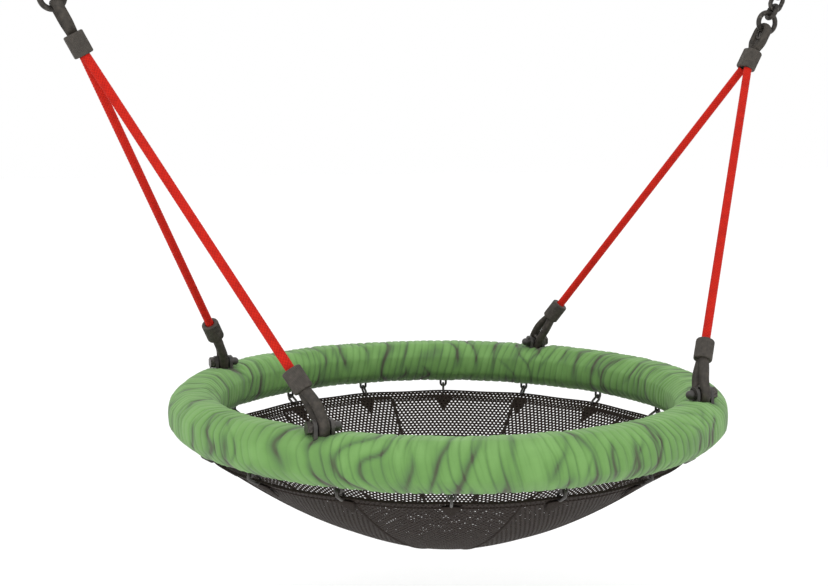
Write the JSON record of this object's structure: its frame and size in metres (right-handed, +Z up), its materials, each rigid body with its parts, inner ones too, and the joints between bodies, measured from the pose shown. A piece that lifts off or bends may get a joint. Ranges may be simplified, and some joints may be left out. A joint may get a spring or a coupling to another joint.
{
  "type": "nest swing seat",
  "caption": "Hanging nest swing seat: a round padded ring with a net basket, held by two V-shaped rope hangers on short chains.",
  "frame": {"origin": "middle of the hanging line, which joins the pivots of the two upper chain links", "axes": "+X along the hanging line (the beam's direction), +Z up, +Y the direction of swinging"},
  "size_m": [1.5158, 1.0508, 1.0951],
  "materials": {
    "steel_tube": "zinc-coated tube",
    "foam": "closed-cell foam",
    "cover_fabric": "gathered green fabric",
    "painted_steel": "black powder coat",
    "fastener_steel": "black oxide",
    "bush_nylon": "moulded nylon",
    "eye_strand": "sheathed strand",
    "thimble_steel": "dark steel bead",
    "ferrule_plastic": "ribbed moulded sleeve",
    "rope_red": "braided red rope",
    "chain_steel": "dark coated steel",
    "net_mesh": "black mesh",
    "net_webbing": "black webbing"
  },
  "bodies": {
    "hooks": {"left_hook_link": "chain_steel", "right_hook_link": "chain_steel"},
    "chain": {"left_chain_link": "chain_steel", "left_short_link": "chain_steel", "left_ring_link": "chain_steel", "right_chain_link": "chain_steel", "right_short_link": "chain_steel", "right_ring_link": "chain_steel"},
    "seat": {"basket_hem": "net_webbing", "basket_net": "net_mesh", "foam_back": "foam", "foam_front": "foam", "foam_left": "foam", "foam_right": "foam", "hanger_bolts": "fastener_steel", "hanger_bracket_left_back": "painted_steel", "hanger_bracket_left_front": "painted_steel", "hanger_bracket_right_back": "painted_steel", "hanger_bracket_right_front": "painted_steel", "hanger_bushes": "bush_nylon", "hanger_cap_nuts": "fastener_steel", "hanger_washers": "fastener_steel", "lower_eye_left_back": "eye_strand", "lower_eye_left_front": "eye_strand", "lower_eye_right_back": "eye_strand", "lower_eye_right_front": "eye_strand", "lower_ferrule_left_back": "ferrule_plastic", "lower_ferrule_left_front": "ferrule_plastic", "lower_ferrule_right_back": "ferrule_plastic", "lower_ferrule_right_front": "ferrule_plastic", "lower_thimbles": "thimble_steel", "ring_cover": "cover_fabric", "ring_staples": "painted_steel", "ring_tube_left": "steel_tube", "ring_tube_right": "steel_tube", "rope_left_back": "rope_red", "rope_left_front": "rope_red", "rope_right_back": "rope_red", "rope_right_front": "rope_red", "tie_loops": "eye_strand", "tie_patches": "net_webbing", "top_eye_left": "eye_strand", "top_eye_right": "eye_strand", "top_ferrule_left": "ferrule_plastic", "top_ferrule_right": "ferrule_plastic", "top_thimbles": "thimble_steel"}
  },
  "joints": [
    {"name": "swing", "type": "hinge", "parent": "hooks", "child": "chain", "pos_m": [0, 0, 0], "axis": [1, 0, 0], "range_deg": [-45, 45]},
    {"name": "seat_rock", "type": "hinge", "parent": "chain", "child": "seat", "pos_m": [0, 0, -0.07583], "axis": [1, 0, 0], "range_deg": [-30, 30]}
  ]
}
